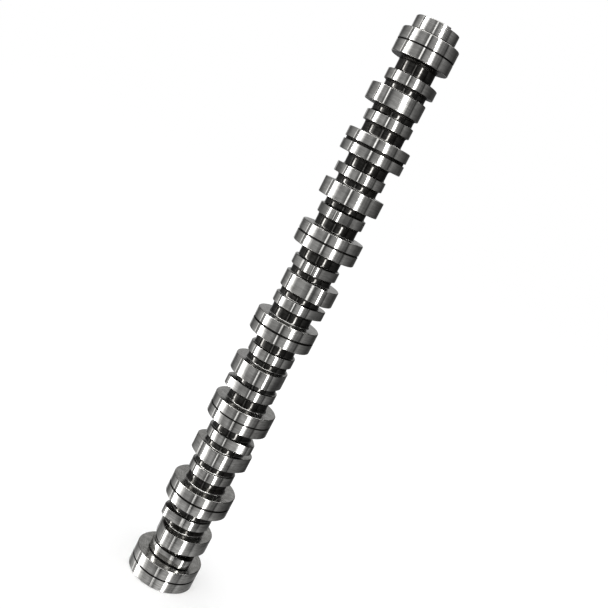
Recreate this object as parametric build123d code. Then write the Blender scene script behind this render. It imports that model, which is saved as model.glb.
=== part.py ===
from build123d import *

import os
from math import acos, degrees, radians, tan

# Camshaft of an in-line six-cylinder diesel engine, forged in one piece and then turned and ground.
# Each cylinder has three lobes: intake, injector and exhaust. Seven journals carry the shaft.
# Frame: the shaft's axis is +Z and the origin is the middle of the tail journal's end face, so the
# nose, which takes the drive gear, points up. Cylinder 1 is beside the nose.
# Lengths are in millimetres. Angles are in degrees, anticlockwise seen from the nose.

# Bays: one for each cylinder, with a journal between neighbours.
CYLINDER_PITCH = 122.0
FIRING_ORDER = (1, 5, 3, 6, 2, 4)

# Widths along the shaft.
VALVE_LOBE_WIDTH = 12.5
INJECTOR_LOBE_WIDTH = 20.5
LOBE_GAP = 9.5
BAY_JOURNAL_WIDTH = 28.5
END_JOURNAL_WIDTH = 31.0
NOSE_JOURNAL_GAP = 18.0
TAIL_JOURNAL_GAP = 1.8
NOSE_LENGTH = 17.5

# Diameters. The journals are listed from the nose to the tail and grow that way, and each clears the
# lobes ahead of it, so the shaft goes endwise into the bearings of its tunnel.
JOURNAL_DIAMETERS = (73.0, 80.6, 81.4, 82.2, 83.0, 86.0, 90.0)
NECK_DIAMETER = 53.0
NOSE_NECK_DIAMETER = 47.5
NOSE_DIAMETER = 56.0

# Grooves round the middle of each journal, listed from the nose to the tail.
GROOVE_WIDTHS = (1.6, 3.6, 2.0, 2.2, 1.6, 2.2, 1.8)
GROOVE_DEPTHS = (1.2, 2.2, 1.3, 1.5, 1.0, 1.4, 1.4)

# Valve lobes: a base circle, two flanks and a nose that are all tangent arcs.
VALVE_BASE_RADIUS = 30.0
VALVE_LIFT = 7.5
VALVE_NOSE_RADIUS = 15.0
VALVE_FLANK_RADIUS = 75.0
INTAKE_ANGLE = 30.0
EXHAUST_ANGLE = 134.0

# Injector lobe: a long outer dwell that falls over two shoulders and flanks to the base circle.
INJECTOR_BASE_RADIUS = 30.5
INJECTOR_LIFT = 9.5
INJECTOR_SHOULDER_RADIUS = 20.0
INJECTOR_FLANK_RADIUS = 70.0
INJECTOR_DWELL_HALF_ANGLE = 70.0
INJECTOR_ANGLE = 150.0

# Lead-in on the journals and the nose.
JOURNAL_CHAMFER = 1.0

# Nose: grinding relief at its root, and a segment milled off the +X side of its end face for timing.
RELIEF_WIDTH = 2.0
RELIEF_DEPTH = 1.0
TIMING_STEP_DEPTH = 2.0
TIMING_STEP_REACH = 13.5

# Drive-gear fixing in the nose: tapped holes, drawn at their tapping size, and one dowel hole.
GEAR_BOLT_EDGE_DISTANCE = 9.0
GEAR_BOLT_COUNT = 3
GEAR_BOLT_FIRST_ANGLE = 180.0
GEAR_BOLT_HOLE_DIAMETER = 8.5
GEAR_BOLT_HOLE_DEPTH = 22.0
DOWEL_HOLE_DIAMETER = 8.0
DOWEL_HOLE_DEPTH = 12.0
DOWEL_ANGLE = 120.0

# Centre holes that the shaft is turned and ground between.
CENTRE_MOUTH_DIAMETER = 10.0
CENTRE_PILOT_DIAMETER = 4.0
CENTRE_PILOT_LENGTH = 5.0
CENTRE_CONE_ANGLE = 60.0

# Stations along the shaft, worked out from the tail's end face at z = 0.
CYLINDERS = len(FIRING_ORDER)
LOBE_OFFSET = (INJECTOR_LOBE_WIDTH + VALVE_LOBE_WIDTH) / 2 + LOBE_GAP
LOBE_GROUP_HALF_WIDTH = LOBE_OFFSET + VALVE_LOBE_WIDTH / 2
TAIL_CYLINDER_Z = END_JOURNAL_WIDTH + TAIL_JOURNAL_GAP + LOBE_GROUP_HALF_WIDTH
CYLINDER_Z = [TAIL_CYLINDER_Z + CYLINDER_PITCH * (CYLINDERS - 1 - i) for i in range(CYLINDERS)]
NOSE_JOURNAL_Z = CYLINDER_Z[0] + LOBE_GROUP_HALF_WIDTH + NOSE_JOURNAL_GAP + END_JOURNAL_WIDTH / 2
BAY_JOURNAL_Z = [z - CYLINDER_PITCH / 2 for z in CYLINDER_Z[:-1]]
JOURNAL_Z = [NOSE_JOURNAL_Z, *BAY_JOURNAL_Z, END_JOURNAL_WIDTH / 2]
JOURNAL_WIDTHS = [END_JOURNAL_WIDTH, *[BAY_JOURNAL_WIDTH] * len(BAY_JOURNAL_Z), END_JOURNAL_WIDTH]
NOSE_ROOT_Z = NOSE_JOURNAL_Z + END_JOURNAL_WIDTH / 2
NOSE_END_Z = NOSE_ROOT_Z + NOSE_LENGTH
GEAR_BOLT_CIRCLE = NOSE_DIAMETER - 2 * GEAR_BOLT_EDGE_DISTANCE


def polar(radius: float, angle: float) -> Vector:
    """Return the point at this radius and angle about the shaft's axis."""
    return Vector(radius, 0).rotate(Axis.Z, angle)


def bearing(start: Vector, end: Vector) -> float:
    """Return the direction from one point to another, in degrees."""
    step = end - start
    return Vector(1, 0).get_signed_angle(step, Vector(0, 0, 1))


def cam_profile(base: float, lift: float, tip: float, flank: float, dwell_half_angle: float) -> Sketch:
    """Draw a cam that is symmetric about +X and made only of tangent arcs.

    A tip circle touches the lift circle from inside at each end of the dwell. A flank arc on each
    side encloses both the base circle and that tip circle, and is tangent to both.

    Args:
        base: radius of the base circle.
        lift: rise of the lobe above the base circle.
        tip: radius of the nose, or of the shoulders at the ends of a dwell.
        flank: radius of the flanks.
        dwell_half_angle: half the angle held at full lift, 0 for a plain nose.

    Returns:
        The closed profile.
    """
    top = base + lift
    tip_centre_radius = top - tip
    flank_centre_radius = flank - base
    reach = flank - tip
    cosine = (flank_centre_radius**2 + tip_centre_radius**2 - reach**2) / (
        2 * flank_centre_radius * tip_centre_radius
    )
    spread = degrees(acos(cosine))
    base_start = dwell_half_angle + 180 - spread
    tip_centre = polar(tip_centre_radius, dwell_half_angle)
    flank_centre = polar(flank_centre_radius, dwell_half_angle - spread)
    tip_end = bearing(flank_centre, tip_centre)
    with BuildSketch() as profile:
        with BuildLine():
            CenterArc(tip_centre, tip, dwell_half_angle, tip_end - dwell_half_angle)
            CenterArc(flank_centre, flank, tip_end, base_start - tip_end)
            CenterArc((0, 0), base, base_start, 180 - base_start)
            if dwell_half_angle:
                CenterArc((0, 0), top, 0, dwell_half_angle)
            mirror(about=Plane.XZ)
        make_face()
    return profile.sketch


def lobe(profile: Sketch, width: float, angle: float, z: float) -> Part:
    """Extrude a cam profile to a lobe that is centred on z and turned to its angle."""
    return Pos(0, 0, z - width / 2) * Rot(0, 0, angle) * extrude(profile, width)


def journal(diameter: float, width: float, groove_width: float, groove_depth: float, z: float) -> Part:
    """Make a journal centred on z, with chamfered ends and a groove round its middle."""
    with BuildPart() as body:
        Cylinder(diameter / 2, width)
        chamfer(body.edges().filter_by(GeomType.CIRCLE), JOURNAL_CHAMFER)
        with BuildSketch(Plane.XZ):
            with Locations((diameter / 2, 0)):
                Rectangle(2 * groove_depth, groove_width)
        revolve(axis=Axis.Z, mode=Mode.SUBTRACT)
    return Pos(0, 0, z) * body.part


def nose() -> Part:
    """Make the nose that the drive gear seats on, with the relief at its root and the timing step."""
    radius = NOSE_DIAMETER / 2
    with BuildPart() as body:
        Cylinder(radius, NOSE_LENGTH, align=(Align.CENTER, Align.CENTER, Align.MIN))
        chamfer(body.edges().group_by(Axis.Z)[-1], JOURNAL_CHAMFER)
        with BuildSketch(Plane.XZ):
            with Locations((radius, 0)):
                Rectangle(2 * RELIEF_DEPTH, 2 * RELIEF_WIDTH)
        revolve(axis=Axis.Z, mode=Mode.SUBTRACT)
        with Locations((radius - TIMING_STEP_REACH, 0, NOSE_LENGTH)):
            Box(
                NOSE_DIAMETER, NOSE_DIAMETER, 2 * TIMING_STEP_DEPTH,
                align=(Align.MIN, Align.CENTER, Align.CENTER), mode=Mode.SUBTRACT,
            )
    return Pos(0, 0, NOSE_ROOT_Z) * body.part


def neck(diameter: float, start: float, end: float) -> Part:
    """Make the neck between two faces."""
    return Pos(0, 0, (start + end) / 2) * Cylinder(diameter / 2, end - start)


def end_hole(diameter: float, depth: float) -> Part:
    """Make the cutter for a flat-bottomed hole that enters at z = 0 and goes down."""
    return Pos(0, 0, -depth / 2) * Cylinder(diameter / 2, depth)


def centre_hole() -> Part:
    """Make the cutter for a centre hole: a pilot under the cone that the lathe centre seats in."""
    mouth = CENTRE_MOUTH_DIAMETER / 2
    pilot = CENTRE_PILOT_DIAMETER / 2
    cone_depth = (mouth - pilot) / tan(radians(CENTRE_CONE_ANGLE / 2))
    cone = Pos(0, 0, -cone_depth / 2) * Cone(pilot, mouth, cone_depth)
    return cone + end_hole(CENTRE_PILOT_DIAMETER, cone_depth + CENTRE_PILOT_LENGTH)


def journals() -> list[Part]:
    """Make the seven journals."""
    sizes = zip(JOURNAL_DIAMETERS, JOURNAL_WIDTHS, GROOVE_WIDTHS, GROOVE_DEPTHS, JOURNAL_Z)
    return [journal(*size) for size in sizes]


def lobes() -> list[Part]:
    """Make three lobes for each cylinder, each turned back by its cylinder's place in the firing order."""
    valve = cam_profile(VALVE_BASE_RADIUS, VALVE_LIFT, VALVE_NOSE_RADIUS, VALVE_FLANK_RADIUS, 0)
    injector = cam_profile(
        INJECTOR_BASE_RADIUS, INJECTOR_LIFT, INJECTOR_SHOULDER_RADIUS, INJECTOR_FLANK_RADIUS,
        INJECTOR_DWELL_HALF_ANGLE,
    )
    made = []
    for turn, cylinder in enumerate(FIRING_ORDER):
        lag = turn * 360 / CYLINDERS
        z = CYLINDER_Z[cylinder - 1]
        made.append(lobe(valve, VALVE_LOBE_WIDTH, INTAKE_ANGLE - lag, z + LOBE_OFFSET))
        made.append(lobe(injector, INJECTOR_LOBE_WIDTH, INJECTOR_ANGLE - lag, z))
        made.append(lobe(valve, VALVE_LOBE_WIDTH, EXHAUST_ANGLE - lag, z - LOBE_OFFSET))
    return made


def necks(collars: list[Part]) -> list[Part]:
    """Fill the gap between each journal or lobe and the next with a neck."""
    spans = [part.bounding_box() for part in collars]
    spans.sort(key=lambda box: box.min.Z)
    made = []
    for lower, upper in zip(spans, spans[1:]):
        last = upper is spans[-1]
        diameter = NOSE_NECK_DIAMETER if last else NECK_DIAMETER
        made.append(neck(diameter, lower.max.Z, upper.min.Z))
    return made


def end_holes() -> list[Part]:
    """Make the cutters for the gear fixing in the nose and for the centre hole in each end."""
    nose_end = Pos(0, 0, NOSE_END_Z)
    bolt_hole = end_hole(GEAR_BOLT_HOLE_DIAMETER, GEAR_BOLT_HOLE_DEPTH)
    dowel_hole = end_hole(DOWEL_HOLE_DIAMETER, DOWEL_HOLE_DEPTH)
    bolt_places = PolarLocations(GEAR_BOLT_CIRCLE / 2, GEAR_BOLT_COUNT, GEAR_BOLT_FIRST_ANGLE)
    dowel_place = Pos(polar(GEAR_BOLT_CIRCLE / 2, DOWEL_ANGLE))
    cutters = [nose_end * place * bolt_hole for place in bolt_places]
    cutters.append(nose_end * dowel_place * dowel_hole)
    cutters.append(nose_end * centre_hole())
    cutters.append(Rot(180, 0, 0) * centre_hole())
    return cutters


def camshaft() -> Part:
    """Join journals, lobes, necks and nose, and drill both ends."""
    collars = journals() + lobes()
    return Part() + (collars + necks(collars) + [nose()]) - end_holes()


if __name__ == "__main__":
    os.makedirs("parts", exist_ok=True)
    export_step(camshaft(), "parts/camshaft.step")
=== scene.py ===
"""Dress and stage the camshaft of an in-line six-cylinder diesel engine.

The shaft is one forging with ground journals and cam lobes on dark turned necks. It is drawn here as
one closed skin of rings strung along its axis, in the frame and to the sizes of the solid model, with
the root fillets and broken edges that the solid leaves out. The shaft's and the camera's lengths are
millimetres, those of the booth and the studio are metres, and the geometry tree is given metres and
radians. Other angles are degrees, anticlockwise seen from the nose.
"""

from __future__ import annotations

import logging
import math
from collections.abc import Iterator, Mapping
from dataclasses import dataclass, field, replace
from enum import Enum, IntEnum
from typing import Any, ClassVar

import bpy
from mathutils import Matrix, Vector

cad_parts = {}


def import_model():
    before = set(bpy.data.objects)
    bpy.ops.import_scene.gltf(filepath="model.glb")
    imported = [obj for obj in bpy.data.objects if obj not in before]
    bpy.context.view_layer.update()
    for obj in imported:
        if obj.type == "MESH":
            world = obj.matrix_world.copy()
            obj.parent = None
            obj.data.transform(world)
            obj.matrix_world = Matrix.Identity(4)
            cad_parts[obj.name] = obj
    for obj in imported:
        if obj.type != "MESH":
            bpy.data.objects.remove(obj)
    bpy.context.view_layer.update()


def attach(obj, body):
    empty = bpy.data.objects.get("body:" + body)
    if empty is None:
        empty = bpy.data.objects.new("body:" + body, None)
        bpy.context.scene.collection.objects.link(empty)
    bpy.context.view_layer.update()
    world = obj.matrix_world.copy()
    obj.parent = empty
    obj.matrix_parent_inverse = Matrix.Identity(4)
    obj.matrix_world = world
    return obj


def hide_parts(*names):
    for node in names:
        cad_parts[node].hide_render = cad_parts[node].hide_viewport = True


MM = 0.001
LOG = logging.getLogger("camshaft")


class Zone(IntEnum):
    """Finish zones of the skin. The number is the one stored on its faces."""

    GROUND = 0
    FACED = 1
    EDGE = 2
    NECK = 3
    TAPPED = 4
    # Painted shade: dark, dull steel in the oil grooves, on the collars' undersides and on the necks' roots
    # under them.
    PAINTED_SHADE = 5
    SEAT = 6


class Lay(Enum):
    """How the tool marks lie: rings round the axis, spaced along it or out from it."""

    AROUND = "around"
    CONCENTRIC = "concentric"


def linear(hex_code: str) -> tuple[float, float, float, float]:
    """Turn an sRGB hex colour to linear RGBA.

    Args:
        hex_code: six hexadecimal digits, with or without a leading #.

    Returns:
        The linear colour with full alpha.
    """
    digits = hex_code.lstrip("#")
    parts = [int(digits[i : i + 2], 16) / 255 for i in (0, 2, 4)]
    red, green, blue = (p / 12.92 if p <= 0.04045 else ((p + 0.055) / 1.055) ** 2.4 for p in parts)
    return red, green, blue, 1.0


def add(
    tree: bpy.types.NodeTree, kind: str, inputs: Mapping[int | str, Any] | None = None, **settings: Any
) -> Any:
    """Add one node to a tree, with its settings, values and links.

    Args:
        tree: shader or geometry tree that gets the node.
        kind: the node's type name.
        inputs: for each input, by index or name, a value or another node's output.
        settings: the node's own properties.

    Returns:
        The new node.
    """
    node = tree.nodes.new(kind)
    for name, value in settings.items():
        setattr(node, name, value)
    for key, value in (inputs or {}).items():
        if isinstance(value, bpy.types.NodeSocket):
            tree.links.new(value, node.inputs[key])
        else:
            node.inputs[key].default_value = value
    return node


# -- Finishes --


@dataclass(frozen=True)
class SteelFinish:
    """A machined steel surface: colour, gloss and the marks that the tool left.

    The marks are rings round the axis. They tip the surface along the shaft only, so reflections smear
    lengthwise and keep crisp edges across it.
    """

    name: str
    light: str
    dark: str
    roughness: tuple[float, float]
    anisotropy: float
    lay: Lay
    mark_spacing: float
    mark_depth: float
    mottle_size: float
    thread_pitch: float = 0.0
    # How far a mark runs round the axis before the noise in it changes.
    mark_length: ClassVar[float] = 12.0
    mark_detail: ClassVar[float] = 3.0
    mark_roughness: ClassVar[float] = 0.6
    mottle_detail: ClassVar[float] = 4.0
    # Product of the two noises at the darkest and dullest, and at the lightest and glossiest.
    dark_below: ClassVar[float] = 0.12
    light_above: ClassVar[float] = 0.38

    def material(self) -> bpy.types.Material:
        """Build the node material for this finish.

        Returns:
            The material, whose marks lie by the object's own coordinates.
        """
        material = bpy.data.materials.new(self.name)
        material.use_nodes = True
        tree = material.node_tree
        tree.nodes.clear()
        place = add(tree, "ShaderNodeTexCoord").outputs["Object"]
        along = add(tree, "ShaderNodeSeparateXYZ", {0: place}).outputs["Z"]
        level = {0: place, 1: (1.0, 1.0, 0.0)}
        across = add(tree, "ShaderNodeVectorMath", level, operation="MULTIPLY").outputs[0]
        marks = self._marks(tree, along, across)
        blotches = {"Vector": place, "Scale": 1 / (self.mottle_size * MM), "Detail": self.mottle_detail}
        mottle = add(tree, "ShaderNodeTexNoise", blotches).outputs[0]
        both = add(tree, "ShaderNodeMath", {0: marks, 1: mottle}, operation="MULTIPLY").outputs[0]
        spread = {"Value": both, "From Min": self.dark_below, "From Max": self.light_above}
        tone = add(tree, "ShaderNodeMapRange", spread).outputs["Result"]
        # The mix node's colours are its inputs 6 and 7 and its output 2.
        mix = {0: tone, 6: linear(self.dark), 7: linear(self.light)}
        colour = add(tree, "ShaderNodeMix", mix, data_type="RGBA").outputs[2]
        glossy, dull = self.roughness
        span = {"To Min": dull, "To Max": glossy}
        gloss = add(tree, "ShaderNodeMapRange", {**spread, **span}).outputs["Result"]
        height = marks
        if self.thread_pitch:
            turn = {0: along, 1: math.tau / (self.thread_pitch * MM)}
            turns = add(tree, "ShaderNodeMath", turn, operation="MULTIPLY").outputs[0]
            height = add(tree, "ShaderNodeMath", {0: turns}, operation="SINE").outputs[0]
        relief = {"Height": height, "Distance": self.mark_depth * MM, "Strength": 1.0}
        bump = add(tree, "ShaderNodeBump", relief).outputs[0]
        steel = {
            "Base Color": colour,
            "Metallic": 1.0,
            "Roughness": gloss,
            "Anisotropic": self.anisotropy,
            "Tangent": self._tangent(tree, across),
            "Normal": bump,
        }
        shader = add(tree, "ShaderNodeBsdfPrincipled", steel).outputs[0]
        add(tree, "ShaderNodeOutputMaterial", {"Surface": shader})
        return material

    def _marks(
        self, tree: bpy.types.NodeTree, along: bpy.types.NodeSocket, across: bpy.types.NodeSocket
    ) -> bpy.types.NodeSocket:
        """Draw the tool marks as noise that changes quickly from ring to ring and slowly round each one.

        Args:
            tree: the material's tree.
            along: height on the shaft.
            across: place relative to the axis.

        Returns:
            The marks' noise, from 0 to 1.
        """
        if self.lay is Lay.AROUND:
            step = along
        else:
            step = add(tree, "ShaderNodeVectorMath", {0: across}, operation="LENGTH").outputs["Value"]
        stretch = {0: across, "Scale": 1 / (self.mark_length * MM)}
        drawn_out = add(tree, "ShaderNodeVectorMath", stretch, operation="SCALE").outputs[0]
        packing = {0: step, 1: 1 / (self.mark_spacing * MM)}
        row = add(tree, "ShaderNodeMath", packing, operation="MULTIPLY").outputs[0]
        lift = add(tree, "ShaderNodeCombineXYZ", {"Z": row}).outputs[0]
        grain = add(tree, "ShaderNodeVectorMath", {0: drawn_out, 1: lift}, operation="ADD").outputs[0]
        noise = {"Vector": grain, "Scale": 1.0, "Detail": self.mark_detail, "Roughness": self.mark_roughness}
        return add(tree, "ShaderNodeTexNoise", noise).outputs[0]

    @staticmethod
    def _tangent(tree: bpy.types.NodeTree, across: bpy.types.NodeSocket) -> bpy.types.NodeSocket:
        """Find the direction across the tool marks, which the reflections are smeared along.

        Args:
            tree: the material's tree.
            across: place relative to the axis.

        Returns:
            The direction, of length 1, in the surface and square to the marks.
        """
        facing = add(tree, "ShaderNodeNewGeometry").outputs["Normal"]
        ring = {0: (0.0, 0.0, 1.0), 1: across}
        around = add(tree, "ShaderNodeVectorMath", ring, operation="CROSS_PRODUCT").outputs[0]
        upright = {0: facing, 1: around}
        square = add(tree, "ShaderNodeVectorMath", upright, operation="CROSS_PRODUCT").outputs[0]
        return add(tree, "ShaderNodeVectorMath", {0: square}, operation="NORMALIZE").outputs[0]


# Induction-hardened carbon steel, cylindrically ground: bright, near-mirror, with hair-fine rings. The
# real lines are about 0.05 mm apart and are drawn 1.6 mm apart, so that they show.
GROUND_STEEL = SteelFinish(
    "ground_steel", "#DBDAD7", "#ACABA8", (0.05, 0.09), 0.55, Lay.AROUND, 1.6, 0.0003, 12.0
)
# The seat for the gear, turned and then polished with fine emery: the same steel, with softer reflections.
POLISHED_SEAT = SteelFinish(
    "polished_seat", "#DBDAD7", "#ACABA8", (0.11, 0.15), 0.4, Lay.AROUND, 1.2, 0.0003, 12.0
)
# The flat sides of the collars, faced on the lathe: satin, with rings centred on the axis.
FACED_STEEL = SteelFinish(
    "faced_steel", "#BFBEBB", "#94938F", (0.18, 0.28), 0.45, Lay.CONCENTRIC, 0.8, 0.0006, 8.0
)
# Edges broken with a stone after grinding: the same steel, duller than the ground lands.
BROKEN_EDGE = SteelFinish(
    "broken_edge", "#B5B4B1", "#979693", (0.16, 0.24), 0.3, Lay.AROUND, 1.0, 0.0003, 10.0
)
# Necks and fillets, turned and then blackened in a phosphate bath and oiled: dark, with a wet gloss.
# The lathe's feed is about 0.3 mm a turn and is drawn 1.2 mm apart, so that it shows.
BLACKENED_NECK = SteelFinish(
    "blackened_neck", "#555452", "#2B2A28", (0.06, 0.09), 0.35, Lay.AROUND, 1.2, 0.0005, 12.0
)
# Oil grooves, and the collars' undersides with the roots and fillets of the necks under them: dark and dull.
# This is painted shade, where shade falls in the grooves and under the collars.
DARK_PAINTED_SHADE = SteelFinish("dark_painted_shade", "#2A2927", "#181716", (0.40, 0.55), 0.2, Lay.AROUND, 0.5, 0.001, 6.0)
# Walls of the tapped holes, cut with an M10 tap: bright crests every 1.5 mm down the hole.
TAPPED_THREAD = SteelFinish(
    "tapped_thread", "#9B9A97", "#787774", (0.25, 0.35), 0.0, Lay.AROUND, 0.5, 0.25, 6.0, 1.5
)

FINISHES = {
    Zone.GROUND: GROUND_STEEL,
    Zone.FACED: FACED_STEEL,
    Zone.EDGE: BROKEN_EDGE,
    Zone.NECK: BLACKENED_NECK,
    Zone.TAPPED: TAPPED_THREAD,
    Zone.PAINTED_SHADE: DARK_PAINTED_SHADE,
    Zone.SEAT: POLISHED_SEAT,
}


# -- Sections and rings --


@dataclass(frozen=True)
class Section:
    """A cross-section made of tangent arcs: base circle, flanks, nose or shoulders, and outer dwell."""

    base: float
    top: float
    tip: float
    flank: float
    dwell: float = 0.0
    heading: float = 0.0

    @classmethod
    def circle(cls, radius: float) -> Section:
        """Return a round section."""
        return cls(radius, radius, radius, radius)

    def inset(self, depth: float) -> Section:
        """Return the parallel section that lies this far inside, whose arcs keep their centres."""
        smaller = {name: getattr(self, name) - depth for name in ("base", "top", "tip", "flank")}
        return replace(self, **smaller)

    def arcs(self) -> dict[str, float]:
        """Work out where each arc lies.

        Returns:
            Radii and distances in metres and bearings in radians, by the names that the tree reads.
        """
        tip_reach, flank_reach = self.top - self.tip, self.flank - self.base
        dwell = math.radians(self.dwell)
        tip_until = flank_until = flank_turn = 0.0
        if tip_reach > 0 and flank_reach > 0:
            side = self.flank - self.tip
            cosine = (flank_reach**2 + tip_reach**2 - side**2) / (2 * flank_reach * tip_reach)
            spread = math.acos(cosine)
            flank_turn = dwell - spread
            flank_until = dwell + math.pi - spread
            tip_centre = Vector((math.cos(dwell), math.sin(dwell))) * tip_reach
            flank_centre = Vector((math.cos(flank_turn), math.sin(flank_turn))) * flank_reach
            joint = tip_centre + (tip_centre - flank_centre).normalized() * self.tip
            tip_until = math.atan2(joint.y, joint.x)
        return {
            "base": self.base * MM,
            "top": self.top * MM,
            "tip": self.tip * MM,
            "tip_reach": tip_reach * MM,
            "flank": self.flank * MM,
            "flank_reach": flank_reach * MM,
            "flank_turn": flank_turn,
            "dwell": dwell,
            "tip_until": tip_until,
            "flank_until": flank_until,
            "heading": math.radians(self.heading),
        }


@dataclass(frozen=True)
class Ring:
    """One ring of the skin, and the finish of the band from it up to the next ring."""

    z: float
    section: Section
    zone: Zone


@dataclass(frozen=True)
class Collar:
    """A raised part of the shaft that is centred on z."""

    z: float
    width: float

    @property
    def foot(self) -> float:
        """Height of the face towards the tail."""
        return self.z - self.width / 2

    @property
    def head(self) -> float:
        """Height of the face towards the nose."""
        return self.z + self.width / 2

    def rings(self) -> Iterator[Ring]:
        """Yield the collar's rings from foot to head."""
        raise NotImplementedError


@dataclass(frozen=True)
class Lobe(Collar):
    """A cam lobe with broken edges."""

    section: Section
    edge_break: float

    def rings(self) -> Iterator[Ring]:
        """Yield the lobe's rings from foot to head.

        Yields:
            Its four rings, the land between two broken edges.
        """
        inner = self.section.inset(self.edge_break)
        yield Ring(self.foot, inner, Zone.EDGE)
        yield Ring(self.foot + self.edge_break, self.section, Zone.GROUND)
        yield Ring(self.head - self.edge_break, self.section, Zone.EDGE)
        yield Ring(self.head, inner, Zone.FACED)


@dataclass(frozen=True)
class Journal(Collar):
    """A bearing journal with chamfered ends and an oil groove round its middle."""

    diameter: float
    groove_width: float
    groove_depth: float
    chamfer: float
    groove_edge: float = 0.25

    def rings(self) -> Iterator[Ring]:
        """Yield the journal's rings from foot to head.

        Yields:
            The rings of its chamfers, its two lands and the groove between them.
        """
        radius, half, lip = self.diameter / 2, self.groove_width / 2, self.groove_edge
        land, end = Section.circle(radius), Section.circle(radius - self.chamfer)
        mouth, floor = Section.circle(radius - lip), Section.circle(radius - self.groove_depth)
        yield Ring(self.foot, end, Zone.EDGE)
        yield Ring(self.foot + self.chamfer, land, Zone.GROUND)
        # The oil groove, with its lips and floor, is dark and dull: painted shade in the recess.
        yield Ring(self.z - half - lip, land, Zone.PAINTED_SHADE)
        yield Ring(self.z - half, mouth, Zone.PAINTED_SHADE)
        yield Ring(self.z - half, floor, Zone.PAINTED_SHADE)
        yield Ring(self.z + half, floor, Zone.PAINTED_SHADE)
        yield Ring(self.z + half, mouth, Zone.PAINTED_SHADE)
        yield Ring(self.z + half + lip, land, Zone.GROUND)
        yield Ring(self.head - self.chamfer, land, Zone.EDGE)
        yield Ring(self.head, end, Zone.FACED)


@dataclass(frozen=True)
class CentreHole:
    """The 60 degree centre in an end face that the shaft is turned and ground between."""

    mouth: float = 5.0
    pilot: float = 2.0
    pilot_length: float = 5.0
    half_angle: float = 30.0

    def rings(self, face: float, inward: int) -> list[Ring]:
        """List the hole's rings from its mouth to its bottom.

        Args:
            face: height of the end face.
            inward: 1 where the hole runs towards the nose, -1 towards the tail.

        Returns:
            The rings, mouth first.
        """
        cone = (self.mouth - self.pilot) / math.tan(math.radians(self.half_angle))
        bottom = face + inward * (cone + self.pilot_length)
        return [
            Ring(face, Section.circle(self.mouth), Zone.EDGE),
            Ring(face + inward * cone, Section.circle(self.pilot), Zone.NECK),
            Ring(bottom, Section.circle(self.pilot), Zone.NECK),
            Ring(bottom, Section.circle(0.0), Zone.NECK),
        ]


@dataclass(frozen=True)
class Nose:
    """The seat for the drive gear, with a grinding relief at its root."""

    radius: float = 28.0
    length: float = 17.5
    chamfer: float = 1.0
    relief_width: float = 2.0
    relief_depth: float = 1.0
    root_fillet: float = 0.5
    shoulder_break: float = 0.2

    def rings(self, root: float) -> Iterator[Ring]:
        """Yield the rings from the nose's root to the rim of its end face.

        Args:
            root: height of the journal's face that it stands on.

        Yields:
            The rings of its relief, its seat and its chamfer.
        """
        waist = self.radius - self.relief_depth
        shoulder = root + self.relief_width
        end = root + self.length
        yield Ring(root, Section.circle(waist + self.root_fillet), Zone.NECK)
        yield Ring(root + self.root_fillet, Section.circle(waist), Zone.NECK)
        yield Ring(shoulder, Section.circle(waist), Zone.NECK)
        yield Ring(shoulder, Section.circle(self.radius - self.shoulder_break), Zone.EDGE)
        yield Ring(shoulder + self.shoulder_break, Section.circle(self.radius), Zone.SEAT)
        yield Ring(end - self.chamfer, Section.circle(self.radius), Zone.EDGE)
        yield Ring(end, Section.circle(self.radius - self.chamfer), Zone.FACED)


@dataclass(frozen=True)
class GearFixing:
    """Tapped holes, dowel hole and timing step in the nose's end face."""

    bolt_circle_radius: float = 19.0
    bolt_count: int = 3
    bolt_first_angle: float = 180.0
    bolt_hole_radius: float = 4.25
    bolt_hole_depth: float = 22.0
    dowel_angle: float = 120.0
    dowel_hole_radius: float = 4.0
    dowel_hole_depth: float = 12.0
    countersink: float = 0.5
    step_reach: float = 13.5
    step_depth: float = 2.0
    step_block: float = 80.0

    def sizes(self, end: float, radius: float) -> dict[str, Any]:
        """Work out the cutters for the end face, which are all centred on it and so twice as deep.

        Args:
            end: height of the end face.
            radius: radius of the nose.

        Returns:
            The geometry tree's inputs for them, in metres and radians.
        """
        dowel = math.radians(self.dowel_angle)
        reach = self.bolt_circle_radius * MM
        lead = 2 * self.countersink
        block = self.step_block
        return {
            "Nose End": (0.0, 0.0, end * MM),
            "Bolt Count": self.bolt_count,
            "Bolt Circle Radius": reach,
            "Bolt First Angle": (0.0, 0.0, math.radians(self.bolt_first_angle)),
            "Bolt Hole Radius": self.bolt_hole_radius * MM,
            "Bolt Drill Length": 2 * self.bolt_hole_depth * MM,
            "Bolt Sink Radius": (self.bolt_hole_radius + lead) * MM,
            "Dowel Place": (reach * math.cos(dowel), reach * math.sin(dowel), end * MM),
            "Dowel Hole Radius": self.dowel_hole_radius * MM,
            "Dowel Drill Length": 2 * self.dowel_hole_depth * MM,
            "Dowel Sink Radius": (self.dowel_hole_radius + lead) * MM,
            "Sink Depth": lead * MM,
            "Sink Lift": (0.0, 0.0, -self.countersink * MM),
            "Step Size": (block * MM, block * MM, 2 * self.step_depth * MM),
            "Step Place": ((radius - self.step_reach + block / 2) * MM, 0.0, end * MM),
        }


# -- The shaft --


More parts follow.
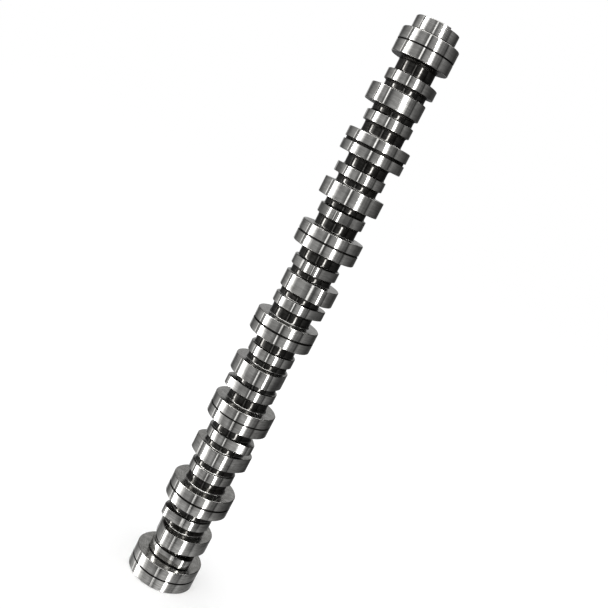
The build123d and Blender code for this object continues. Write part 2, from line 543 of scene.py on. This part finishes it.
@dataclass
class Camshaft:
    """The whole shaft, from the tail's end face at z = 0 to the nose."""

    cylinder_pitch: float = 122.0
    firing_order: tuple[int, ...] = (1, 5, 3, 6, 2, 4)
    valve_width: float = 12.5
    injector_width: float = 20.5
    lobe_gap: float = 9.5
    bay_journal_width: float = 28.5
    end_journal_width: float = 31.0
    nose_journal_gap: float = 18.0
    tail_journal_gap: float = 1.8
    journal_diameters: tuple[float, ...] = (73.0, 80.6, 81.4, 82.2, 83.0, 86.0, 90.0)
    groove_widths: tuple[float, ...] = (1.6, 3.6, 2.0, 2.2, 1.6, 2.2, 1.8)
    groove_depths: tuple[float, ...] = (1.2, 2.2, 1.3, 1.5, 1.0, 1.4, 1.4)
    neck_radius: float = 26.5
    nose_neck_radius: float = 23.75
    journal_chamfer: float = 1.0
    lobe_edge_break: float = 0.6
    root_fillet: float = 2.5
    fillet_steps: int = 5
    # Bend of the fillet at a neck's foot from which it is the lighter faced steel: a painted highlight on the
    # fillets that face up.
    highlight_fillet_from: float = 55.0
    # Length of the band of painted shade on a neck's root under the collar above it, and under the nose's
    # journal.
    dark_painted_shade: float = 3.2
    nose_dark_painted_shade: float = 4.5
    valve: Section = Section(base=30.0, top=37.5, tip=15.0, flank=75.0)
    injector: Section = Section(base=30.5, top=40.0, tip=20.0, flank=70.0, dwell=70.0)
    intake_angle: float = 30.0
    exhaust_angle: float = 134.0
    injector_angle: float = 150.0
    segments: int = 200
    sharp_angle: float = 50.0
    shading_weight: int = 100
    nose: Nose = field(default_factory=Nose)
    centre: CentreHole = field(default_factory=CentreHole)
    fixing: GearFixing = field(default_factory=GearFixing)

    @property
    def lobe_offset(self) -> float:
        """Distance from an injector lobe's middle to the middle of the valve lobes beside it."""
        return (self.injector_width + self.valve_width) / 2 + self.lobe_gap

    @property
    def cylinder_heights(self) -> list[float]:
        """Work out how high each cylinder's injector lobe is.

        Returns:
            The heights of the lobes' middles, cylinder 1 first.
        """
        half_group = self.lobe_offset + self.valve_width / 2
        lowest = self.end_journal_width + self.tail_journal_gap + half_group
        last = len(self.firing_order) - 1
        return [lowest + self.cylinder_pitch * (last - i) for i in range(last + 1)]

    def journals(self) -> list[Journal]:
        """List the journals from the nose to the tail.

        Returns:
            The seven journals, each at its height and of its own size.
        """
        heights = self.cylinder_heights
        top = heights[0] + self.lobe_offset + self.valve_width / 2 + self.nose_journal_gap
        middles = [z - self.cylinder_pitch / 2 for z in heights[:-1]]
        places = [top + self.end_journal_width / 2, *middles, self.end_journal_width / 2]
        widths = [self.end_journal_width, *[self.bay_journal_width] * len(middles), self.end_journal_width]
        sizes = zip(places, widths, self.journal_diameters, self.groove_widths, self.groove_depths)
        return [Journal(*size, self.journal_chamfer) for size in sizes]

    def lobes(self) -> Iterator[Lobe]:
        """Yield three lobes for each cylinder, turned back by its place in the firing order.

        Yields:
            The intake, injector and exhaust lobes of each cylinder.
        """
        for turn, cylinder in enumerate(self.firing_order):
            lag = turn * 360 / len(self.firing_order)
            z = self.cylinder_heights[cylinder - 1]
            for height, width, section, angle in (
                (z + self.lobe_offset, self.valve_width, self.valve, self.intake_angle),
                (z, self.injector_width, self.injector, self.injector_angle),
                (z - self.lobe_offset, self.valve_width, self.valve, self.exhaust_angle),
            ):
                yield Lobe(height, width, replace(section, heading=angle - lag), self.lobe_edge_break)

    def neck(self, foot: float, head: float, under_journal: bool) -> Iterator[Ring]:
        """Yield a neck between two faces, with a fillet at each end and painted shade, dark and dull, on its
        root under the upper one.

        Args:
            foot: height of the face below.
            head: height of the face above.
            under_journal: whether it is the thinner neck under the nose's journal.

        Yields:
            The neck's rings from foot to head.
        """
        radius = self.nose_neck_radius if under_journal else self.neck_radius
        # How far the painted shade reaches down the neck under the collar above.
        root = self.nose_dark_painted_shade if under_journal else self.dark_painted_shade
        fillet = min(self.root_fillet, (head - foot) / 2)
        turns = [math.pi / 2 * i / self.fillet_steps for i in range(self.fillet_steps + 1)]
        profile = [(fillet * (1 - math.cos(t)), radius + fillet * (1 - math.sin(t))) for t in turns]
        # Painted highlight: near the face below, the upward-facing foot fillet turns to the lighter faced
        # steel. The fillet under the upper collar is painted shade.
        highlight_from = radius + fillet * (1 - math.sin(math.radians(self.highlight_fillet_from)))
        for (rise, here), (_, above) in zip(profile, [*profile[1:], profile[-1]]):
            zone = Zone.FACED if min(here, above) > highlight_from else Zone.NECK
            yield Ring(foot + rise, Section.circle(here), zone)
        # Painted shade: the root and fillet under the upper collar, and that collar's underside up to its
        # foot, are dark and dull.
        if head - root > foot + fillet:
            yield Ring(head - root, Section.circle(radius), Zone.PAINTED_SHADE)
        for drop, here in reversed(profile):
            if head - drop > foot + fillet:
                yield Ring(head - drop, Section.circle(here), Zone.PAINTED_SHADE)

    def rings(self) -> list[Ring]:
        """List every ring of the skin.

        Returns:
            The rings from the bottom of the tail's centre hole to the bottom of the nose's.
        """
        journals = self.journals()
        collars = sorted([*journals, *self.lobes()], key=lambda collar: collar.z)
        tail_centre = self.centre.rings(0.0, 1)
        rings = [replace(ring, zone=Zone.NECK) for ring in reversed(tail_centre)]
        rings[-2] = replace(rings[-2], zone=Zone.EDGE)
        rings[-1] = replace(rings[-1], zone=Zone.FACED)
        for collar, following in zip(collars, [*collars[1:], None]):
            rings.extend(collar.rings())
            if following is not None:
                rings.extend(self.neck(collar.head, following.foot, following is collars[-1]))
        nose_root = journals[0].head
        rings.extend(self.nose.rings(nose_root))
        rings.extend(self.centre.rings(nose_root + self.nose.length, -1))
        return rings

    def build(self) -> bpy.types.Object:
        """Make the shaft as one closed mesh.

        Returns:
            The finished object, at the origin, with a material for each zone.
        """
        rings = self.rings()
        materials = {zone: finish.material() for zone, finish in FINISHES.items()}
        seeds, columns = self._seeds(rings)
        maker = bpy.data.objects.new("shaft_maker", seeds)
        bpy.context.scene.collection.objects.link(maker)
        end = self.journals()[0].head + self.nose.length
        sizes = {
            "Segments": self.segments,
            "Rings": len(rings),
            "Sharp Angle": math.radians(self.sharp_angle),
            **self.fixing.sizes(end, self.nose.radius),
        }
        tree = SkinTree(columns, sizes, materials).build()
        modifier = maker.modifiers.new("skin", "NODES")
        modifier.node_group = tree
        for item in tree.interface.items_tree:
            if item.name in sizes:
                modifier[item.identifier] = sizes[item.name]
        shading = maker.modifiers.new("even_shading", "WEIGHTED_NORMAL")
        shading.mode = "FACE_AREA"
        shading.weight = self.shading_weight
        shading.keep_sharp = True
        evaluated = maker.evaluated_get(bpy.context.evaluated_depsgraph_get())
        mesh = bpy.data.meshes.new_from_object(evaluated)
        bpy.data.objects.remove(maker)
        mesh.name = "camshaft_skin"
        shaft = bpy.data.objects.new("camshaft_body", mesh)
        bpy.context.scene.collection.objects.link(shaft)
        return shaft

    @staticmethod
    def _seeds(rings: list[Ring]) -> tuple[bpy.types.Mesh, frozenset[str]]:
        """Make one point for each ring, which carries the ring's section, height and zone.

        Args:
            rings: the skin's rings, in order.

        Returns:
            The mesh of points and the names of its columns.
        """
        seeds = bpy.data.meshes.new("ring_seeds")
        seeds.from_pydata([(0.0, 0.0, ring.z * MM) for ring in rings], [], [])
        columns: dict[str, list[float]] = {}
        for ring in rings:
            row = {**ring.section.arcs(), "height": ring.z * MM, "zone": float(ring.zone)}
            for name, value in row.items():
                columns.setdefault(name, []).append(value)
        for name, values in columns.items():
            seeds.attributes.new(name, "FLOAT", "POINT").data.foreach_set("value", values)
        return seeds, frozenset(columns)


@dataclass
class SkinTree:
    """The geometry tree that turns ring seeds to the shaft's skin and cuts the nose's end face.

    Its own sizes are the tree's: metres, and radians for the least bend of an edge that isn't flat.
    """

    columns: frozenset[str]
    sizes: dict[str, Any]
    materials: dict[Zone, bpy.types.Material]
    tree: bpy.types.GeometryNodeTree = field(init=False)
    given: bpy.types.NodeOutputs = field(init=False)
    stored: dict[str, bpy.types.NodeSocket] = field(init=False)
    weld_distance: float = 1e-6
    drill_sides: int = 48
    least_bend: float = 0.3
    end_margin: float = 0.02 * MM
    zone_tolerance: float = 0.25

    def build(self) -> bpy.types.GeometryNodeTree:
        """Build the tree.

        Returns:
            The tree, with a named input for each size.
        """
        self.tree = bpy.data.node_groups.new("shaft_skin", "GeometryNodeTree")
        face = self.tree.interface
        face.new_socket(name="Seeds", in_out="INPUT", socket_type="NodeSocketGeometry")
        sockets = {int: "NodeSocketInt", float: "NodeSocketFloat", tuple: "NodeSocketVector"}
        for name, size in self.sizes.items():
            face.new_socket(name=name, in_out="INPUT", socket_type=sockets[type(size)])
        face.new_socket(name="Skin", in_out="OUTPUT", socket_type="NodeSocketGeometry")
        self.given = add(self.tree, "NodeGroupInput").outputs
        self.stored = {}
        for name in (*sorted(self.columns), "ring"):
            self.stored[name] = add(self.tree, "GeometryNodeInputNamedAttribute", {"Name": name}).outputs[0]
        skin = self._loft()
        cut = {"operation": "DIFFERENCE", "solver": "MANIFOLD"}
        for cutter in self._cutters():
            skin = add(self.tree, "GeometryNodeMeshBoolean", {0: skin, 1: cutter}, **cut).outputs[0]
        add(self.tree, "NodeGroupOutput", {0: self._dress(skin)})
        return self.tree

    @staticmethod
    def _arc_steps(arc: str, turn: str) -> tuple[tuple[Any, ...], ...]:
        """List the steps that move the radius out to an arc of the section, where the bearing is on it.

        Args:
            arc: the column that holds the arc's radius.
            turn: the column that holds the bearing of its centre.

        Returns:
            For each step its result's name, its operation and what it works on.
        """
        return (
            ("off", "SUBTRACT", "turned", turn),
            ("sine", "SINE", "off"),
            ("cosine", "COSINE", "off"),
            ("side", "MULTIPLY", f"{arc}_reach", "sine"),
            ("side_squared", "MULTIPLY", "side", "side"),
            ("size_squared", "MULTIPLY", arc, arc),
            ("chord_squared", "SUBTRACT", "size_squared", "side_squared"),
            ("chord", "SQRT", "chord_squared"),
            ("rim", "MULTIPLY_ADD", f"{arc}_reach", "cosine", "chord"),
            ("on_arc", "LESS_THAN", "turned", f"{arc}_until"),
            ("change", "SUBTRACT", "rim", "radius"),
            ("radius", "MULTIPLY_ADD", "on_arc", "change", "radius"),
        )

    def _loft(self) -> bpy.types.NodeSocket:
        """String the rings on one grid.

        Returns:
            The skin, facing outwards and closed at its seam and at both ends.
        """
        tree, seeds = self.tree, self.given["Seeds"]
        known = {"index": add(tree, "GeometryNodeInputIndex").outputs[0], "segments": self.given["Segments"]}
        for result, operation, *terms in (
            ("across", "ADD", "segments", 1.0),
            ("row", "DIVIDE", "index", "across"),
            ("ring", "FLOOR", "row"),
            ("column", "MODULO", "index", "across"),
            ("share", "DIVIDE", "column", "segments"),
            ("bearing", "MULTIPLY", "share", math.tau),
            ("turn", "SUBTRACT", "bearing", "heading"),
            ("wrapped", "WRAP", "turn", math.pi, -math.pi),
            ("turned", "ABSOLUTE", "wrapped"),
            ("radius", "ADD", "base", 0.0),
            *self._arc_steps("flank", "flank_turn"),
            *self._arc_steps("tip", "dwell"),
            ("on_dwell", "LESS_THAN", "turned", "dwell"),
            ("change", "SUBTRACT", "top", "radius"),
            ("radius", "MULTIPLY_ADD", "on_dwell", "change", "radius"),
            ("sine", "SINE", "bearing"),
            ("cosine", "COSINE", "bearing"),
            ("x", "MULTIPLY", "radius", "cosine"),
            ("y", "MULTIPLY", "radius", "sine"),
            ("z", "ADD", "height", 0.0),
        ):
            for name in sorted(self.columns.intersection(terms).difference(known)):
                sample = {"Geometry": seeds, "Value": self.stored[name], "Index": known["ring"]}
                known[name] = add(tree, "GeometryNodeSampleIndex", sample).outputs[0]
            values = {index: known.get(term, term) for index, term in enumerate(terms)}
            known[result] = add(tree, "ShaderNodeMath", values, operation=operation).outputs[0]
        counts = {"Vertices X": self.given["Rings"], "Vertices Y": known["across"]}
        grid = add(tree, "GeometryNodeMeshGrid", counts).outputs["Mesh"]
        rings = {"Geometry": grid, "Name": "ring", "Value": known["ring"]}
        numbered = add(tree, "GeometryNodeStoreNamedAttribute", rings, domain="POINT").outputs[0]
        spot = add(tree, "ShaderNodeCombineXYZ", {0: known["x"], 1: known["y"], 2: known["z"]}).outputs[0]
        placed = add(tree, "GeometryNodeSetPosition", {"Geometry": numbered, "Position": spot}).outputs[0]
        # A face reads the mean of its corners, which lie on two rings, so its floor is the lower ring.
        below = add(tree, "ShaderNodeMath", {0: self.stored["ring"]}, operation="FLOOR").outputs[0]
        sample = {"Geometry": seeds, "Value": self.stored["zone"], "Index": below}
        zone = add(tree, "GeometryNodeSampleIndex", sample).outputs[0]
        zones = {"Geometry": placed, "Name": "zone", "Value": zone}
        zoned = add(tree, "GeometryNodeStoreNamedAttribute", zones, domain="FACE").outputs[0]
        outward = add(tree, "GeometryNodeFlipFaces", {0: zoned}).outputs[0]
        weld = {"Geometry": outward, "Distance": self.weld_distance}
        return add(tree, "GeometryNodeMergeByDistance", weld).outputs[0]

    def _cutters(self) -> list[bpy.types.NodeSocket]:
        """Make the cutters for the nose's end face.

        Returns:
            The timing step, then the drills and countersinks of the tapped holes and of the dowel hole.
        """
        tree, given = self.tree, self.given
        circle = {"Vertices": given["Bolt Count"], "Radius": given["Bolt Circle Radius"]}
        ring = add(tree, "GeometryNodeMeshCircle", circle).outputs[0]
        turned = {"Geometry": ring, "Translation": given["Nose End"], "Rotation": given["Bolt First Angle"]}
        bolts = add(tree, "GeometryNodeTransform", turned).outputs[0]
        dowel = add(tree, "GeometryNodePoints", {"Count": 1, "Position": given["Dowel Place"]}).outputs[0]
        step = add(tree, "GeometryNodePoints", {"Count": 1, "Position": given["Step Place"]}).outputs[0]
        block = add(tree, "GeometryNodeMeshCube", {0: given["Step Size"]}).outputs[0]
        tools = [(block, step, Zone.FACED)]
        for name, points, zone in (("Bolt", bolts, Zone.TAPPED), ("Dowel", dowel, Zone.FACED)):
            radius = given[f"{name} Hole Radius"]
            drill = {"Vertices": self.drill_sides, "Radius": radius, "Depth": given[f"{name} Drill Length"]}
            sink = {
                "Vertices": self.drill_sides,
                "Radius Top": given[f"{name} Sink Radius"],
                "Radius Bottom": radius,
                "Depth": given["Sink Depth"],
            }
            tools.append((add(tree, "GeometryNodeMeshCylinder", drill).outputs["Mesh"], points, zone))
            # The cone stands on its origin, so it is lowered to be centred on the face as the drill is.
            cone = add(tree, "GeometryNodeMeshCone", sink).outputs["Mesh"]
            centred = {"Geometry": cone, "Translation": given["Sink Lift"]}
            tools.append((add(tree, "GeometryNodeTransform", centred).outputs[0], points, Zone.EDGE))
        cutters = []
        for tool, points, zone in tools:
            spots = {"Points": points, "Instance": tool}
            placed = add(tree, "GeometryNodeInstanceOnPoints", spots).outputs[0]
            real = add(tree, "GeometryNodeRealizeInstances", {0: placed}).outputs[0]
            marked = {"Geometry": real, "Name": "zone", "Value": float(zone)}
            cutters.append(add(tree, "GeometryNodeStoreNamedAttribute", marked, domain="FACE").outputs[0])
        return cutters

    def _dress(self, skin: bpy.types.NodeSocket) -> bpy.types.NodeSocket:
        """Smooth the skin, keep its sharp edges and those of its end face, and give each zone its material.

        Args:
            skin: the cut skin.

        Returns:
            The finished skin.
        """
        tree, given = self.tree, self.given
        smooth = add(tree, "GeometryNodeSetShadeSmooth", {"Geometry": skin, "Shade Smooth": True}).outputs[0]
        bend = add(tree, "GeometryNodeInputMeshEdgeAngle").outputs["Unsigned Angle"]
        place = add(tree, "GeometryNodeInputPosition").outputs[0]
        end = add(tree, "ShaderNodeSeparateXYZ", {0: given["Nose End"]}).outputs["Z"]
        height = add(tree, "ShaderNodeSeparateXYZ", {0: place}).outputs["Z"]
        known = {"bend": bend, "sharp_angle": given["Sharp Angle"], "end": end, "height": height}
        for result, operation, *terms in (
            ("sharp", "GREATER_THAN", "bend", "sharp_angle"),
            ("bent", "GREATER_THAN", "bend", self.least_bend),
            ("short", "SUBTRACT", "end", "height"),
            ("on_end", "LESS_THAN", "short", self.end_margin),
            ("rim", "MULTIPLY", "on_end", "bent"),
            ("crease", "MAXIMUM", "sharp", "rim"),
        ):
            values = {index: known.get(term, term) for index, term in enumerate(terms)}
            known[result] = add(tree, "ShaderNodeMath", values, operation=operation).outputs[0]
        flat = {"Geometry": smooth, "Selection": known["crease"], "Shade Smooth": False}
        creased = add(tree, "GeometryNodeSetShadeSmooth", flat, domain="EDGE").outputs[0]
        real = add(tree, "GeometryNodeRealizeInstances", {0: creased}).outputs[0]
        for zone, material in self.materials.items():
            compared = {0: self.stored["zone"], 1: float(zone), 2: self.zone_tolerance}
            near = add(tree, "ShaderNodeMath", compared, operation="COMPARE").outputs[0]
            dressed = {"Geometry": real, "Selection": near, "Material": material}
            real = add(tree, "GeometryNodeSetMaterial", dressed).outputs[0]
        return real


# -- Studio --


@dataclass(frozen=True)
class Panel:
    """An upright panel of the booth, between two bearings from the camera's side, 0 at the camera.

    Its level is the strength of its glow, which changes evenly from one side to the other. Each side may
    lean: its bearing then changes by that many degrees for each metre of height. A panel with a rise
    gains that share of its level with each metre.
    """

    start: float
    end: float
    start_level: float
    end_level: float
    start_lean: float = 0.0
    end_lean: float = 0.0
    rise: float = 0.0


@dataclass
class ReflectionBooth:
    """Grey cards and strip lights stood round the shaft, which show only in its reflections.

    Lengths are metres. The panels stand in a ring from the lowest row to the highest, and lean only
    between lean_foot and lean_head. Haze is the light that the floor throws on their feet.
    """

    radius: float = 2.5
    rows: tuple[float, ...] = (-6.0, -2.0, -1.4, -1.1, 2.0, 6.0)
    lean_foot: float = -2.0
    lean_head: float = 2.0
    lean_pivot: float = -0.2
    haze_top: float = -1.4
    haze: float = 0.13
    floor_level: float = 0.1
    ceiling_level: float = 0.9
    softbox_level: float = 3.6
    softbox_half: float = 1.6
    softbox_spans: tuple[tuple[float, float], ...] = ((-1.6, -0.6), (0.75, 1.6))
    softbox_height: float = 2.6
    step: float = 2.0
    panels: tuple[Panel, ...] = (
        Panel(-195, -150, 0.45, 0.45),
        Panel(-150, -130, 0.10, 0.16),
        Panel(-130, -98, 0.16, 0.50, 0.0, 4.5),
        Panel(-98, -93, 1.2, 1.2, 4.5, 4.2),
        Panel(-93, -90, 0.12, 0.15, 4.2, 4.0),
        Panel(-90, -84, 0.18, 0.50, 4.0, 3.7),
        Panel(-84, -79, 0.50, 1.8, 3.7, 3.5),
        Panel(-79, -71, 18.0, 18.0, 3.5, 2.8),
        Panel(-71, -60.5, 3.0, 1.6, 2.8, 2.3),
        Panel(-60.5, -56.5, 1.6, 0.80, 2.3, 2.0),
        Panel(-56.5, -50, 0.80, 0.52, 2.0, 0.0),
        Panel(-50, -40, 0.37, 0.34),
        Panel(-40, -24, 0.36, 0.40),
        Panel(-24, -11.5, 0.32, 0.12),
        Panel(-11.5, -10, 0.30, 1.45, 0.8, 0.8, 0.25),
        Panel(-10, -7.4, 1.45, 1.45, 0.8, 0.8, 0.25),
        Panel(-7.4, -5, 1.2, 0.16, 0.8, 0.8, 0.25),
        Panel(-5, 0, 0.14, 0.08),
        Panel(0, 6, 0.12, 0.32),
        Panel(6, 16, 0.33, 0.46),
        Panel(16, 24, 0.46, 0.48, 0.0, -2.0),
        Panel(24, 29, 0.48, 1.8, -2.0, -2.1),
        Panel(29, 36, 18.0, 18.0, -2.1, -1.9),
        Panel(36, 39, 2.0, 1.35, -1.9, -1.8),
        Panel(39, 44.5, 1.35, 0.28, -1.8, -1.6),
        Panel(44.5, 54, 0.27, 0.25, -1.6, 0.0),
        Panel(54, 66, 0.17, 0.14),
        Panel(66, 73, 0.07, 0.07),
        Panel(73, 84, 0.22, 0.28),
        Panel(84, 104, 0.22, 0.13),
        Panel(104, 130, 0.12, 0.05),
        Panel(130, 165, 0.05, 0.10),
    )

    def build(self) -> bpy.types.Object:
        """Make the booth as one mesh whose panels glow at their own levels.

        Returns:
            The booth, which neither the camera nor any diffuse surface sees.
        """
        points: list[tuple[float, float, float]] = []
        faces: list[tuple[int, ...]] = []
        levels: list[float] = []
        rows = len(self.rows)
        for panel in self.panels:
            count = max(1, round((panel.end - panel.start) / self.step))
            for i in range(count + 1):
                for point, level in self._upright(panel, i / count):
                    points.append(point)
                    levels.append(level)
                if i > 0:
                    now, before = len(points) - rows, len(points) - 2 * rows
                    faces += [(before + n, before + n + 1, now + n + 1, now + n) for n in range(rows - 1)]
        for height, level, half, (near, far) in self._flat_cards():
            first = len(points)
            points += [(-half, near, height), (half, near, height), (half, far, height), (-half, far, height)]
            levels += [level] * 4
            faces.append(tuple(range(first, first + 4)))
        mesh = bpy.data.meshes.new("reflection_booth")
        mesh.from_pydata(points, [], faces)
        mesh.attributes.new("glow", "FLOAT", "POINT").data.foreach_set("value", levels)
        mesh.materials.append(self._material())
        booth = bpy.data.objects.new("reflection_booth", mesh)
        bpy.context.scene.collection.objects.link(booth)
        booth.visible_camera = booth.visible_diffuse = booth.visible_shadow = False
        return booth

    def _upright(self, panel: Panel, share: float) -> Iterator[tuple[tuple[float, float, float], float]]:
        """Yield the points of one upright line of a panel, from its foot to its head.

        Args:
            panel: the panel.
            share: how far across the panel the line is, from 0 to 1.

        Yields:
            Each point with its level.
        """
        lean = panel.start_lean + (panel.end_lean - panel.start_lean) * share
        level = panel.start_level + (panel.end_level - panel.start_level) * share
        for height in self.rows:
            above = min(max(height, self.lean_foot), self.lean_head) - self.lean_pivot
            bend = lean * above
            bearing = math.radians(panel.start + (panel.end - panel.start) * share + bend)
            point = (self.radius * math.sin(bearing), -self.radius * math.cos(bearing), height)
            yield point, level * (1 + panel.rise * above) + (self.haze if height <= self.haze_top else 0)

    def _flat_cards(self) -> list[tuple[float, float, float, tuple[float, float]]]:
        """List the level cards: the floor, the ceiling and the softbox's.

        Returns:
            For each its height, its level, half its width and its span along Y.
        """
        wide = (-self.radius, self.radius)
        floor = (self.rows[0], self.floor_level, self.radius, wide)
        ceiling = (self.rows[-1], self.ceiling_level, self.radius, wide)
        softbox = (self.softbox_height, self.softbox_level, self.softbox_half)
        return [floor, ceiling, *((*softbox, span) for span in self.softbox_spans)]

    @staticmethod
    def _material() -> bpy.types.Material:
        """Make the cards' material.

        Returns:
            A material that glows at each point's level, on both sides.
        """
        material = bpy.data.materials.new("booth_cards")
        material.use_nodes = True
        tree = material.node_tree
        tree.nodes.clear()
        glow = add(tree, "ShaderNodeAttribute", attribute_name="glow").outputs["Fac"]
        lit = add(tree, "ShaderNodeEmission", {"Strength": glow}).outputs[0]
        add(tree, "ShaderNodeOutputMaterial", {"Surface": lit})
        material.cycles.emission_sampling = "FRONT_BACK"
        return material


@dataclass
class Studio:
    """A white room: plain floor, white surroundings and one soft lamp overhead. Lengths are metres."""

    white: str = "#FFFFFF"
    floor_half: float = 20.0
    floor_roughness: float = 0.9
    world_level: float = 1.0
    lamp_height: float = 2.6
    lamp_forward: float = 0.3
    lamp_side: float = 1.6
    lamp_watts: float = 10.0

    def build(self) -> None:
        """Make the floor, the world and the lamp."""
        self._floor()
        self._world()
        self._lamp()

    def _floor(self) -> None:
        """Make the floor, which takes the shadow and doesn't show in the shaft's reflections."""
        half = self.floor_half
        mesh = bpy.data.meshes.new("floor")
        corners = [(-half, -half, 0), (half, -half, 0), (half, half, 0), (-half, half, 0)]
        mesh.from_pydata(corners, [], [(0, 1, 2, 3)])
        floor = bpy.data.objects.new("floor", mesh)
        bpy.context.scene.collection.objects.link(floor)
        material = bpy.data.materials.new("white_floor")
        material.use_nodes = True
        shader = material.node_tree.nodes["Principled BSDF"]
        shader.inputs["Base Color"].default_value = linear(self.white)
        shader.inputs["Roughness"].default_value = self.floor_roughness
        shader.inputs["Specular IOR Level"].default_value = 0.0
        mesh.materials.append(material)
        floor.visible_glossy = False

    def _world(self) -> None:
        """Make the plain white surroundings."""
        world = bpy.data.worlds.new("white_room")
        bpy.context.scene.world = world
        world.use_nodes = True
        background = world.node_tree.nodes["Background"]
        background.inputs["Color"].default_value = linear(self.white)
        background.inputs["Strength"].default_value = self.world_level

    def _lamp(self) -> None:
        """Hang the lamp over the shaft, a little towards the camera."""
        lamp = bpy.data.lights.new("overhead_softbox", "AREA")
        lamp.shape = "SQUARE"
        lamp.size = self.lamp_side
        lamp.energy = self.lamp_watts
        holder = bpy.data.objects.new("overhead_softbox", lamp)
        holder.location = (0.0, -self.lamp_forward, self.lamp_height)
        holder.visible_camera = holder.visible_glossy = False
        bpy.context.scene.collection.objects.link(holder)


@dataclass
class ViewCamera:
    """The camera, which looks along +Y, leans towards the tail and is rolled about its own line."""

    focal_pixels: float = 830.0
    picture_pixels: float = 608.0
    sensor: float = 36.0
    distance: float = 1010.4
    height: float = 597.0
    side: float = 8.03
    tilt: float = 10.5
    roll: float = 27.09

    def build(self) -> bpy.types.Object:
        """Make the camera and set it as the scene's own.

        Returns:
            The camera.
        """
        data = bpy.data.cameras.new("camera")
        data.sensor_width = self.sensor
        data.lens = self.focal_pixels * self.sensor / self.picture_pixels
        camera = bpy.data.objects.new("camera", data)
        tilt, roll = math.radians(self.tilt), math.radians(self.roll)
        upward, sideways = Vector((0.0, math.sin(tilt), math.cos(tilt))), Vector((1.0, 0.0, 0.0))
        right = upward * math.sin(roll) + sideways * math.cos(roll)
        up = upward * math.cos(roll) - sideways * math.sin(roll)
        turned = Matrix((right, up, right.cross(up))).transposed().to_4x4()
        spot = Matrix.Translation(Vector((self.side, -self.distance, self.height)) * MM)
        camera.matrix_world = spot @ turned
        bpy.context.scene.collection.objects.link(camera)
        bpy.context.scene.camera = camera
        return camera


def main() -> None:
    """Load the frame, build the shaft and its studio, and report each piece."""
    logging.basicConfig(level=logging.INFO, format="%(name)s: %(message)s")
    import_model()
    shaft = Camshaft().build()
    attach(shaft, "root")
    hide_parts("camshaft")
    LOG.info("%s: %d faces, %d materials", shaft.name, len(shaft.data.polygons), len(shaft.data.materials))
    ReflectionBooth().build()
    Studio().build()
    ViewCamera().build()
    bpy.context.scene.view_settings.view_transform = "Standard"
    bpy.context.view_layer.update()


if __name__ == "__main__":
    main()
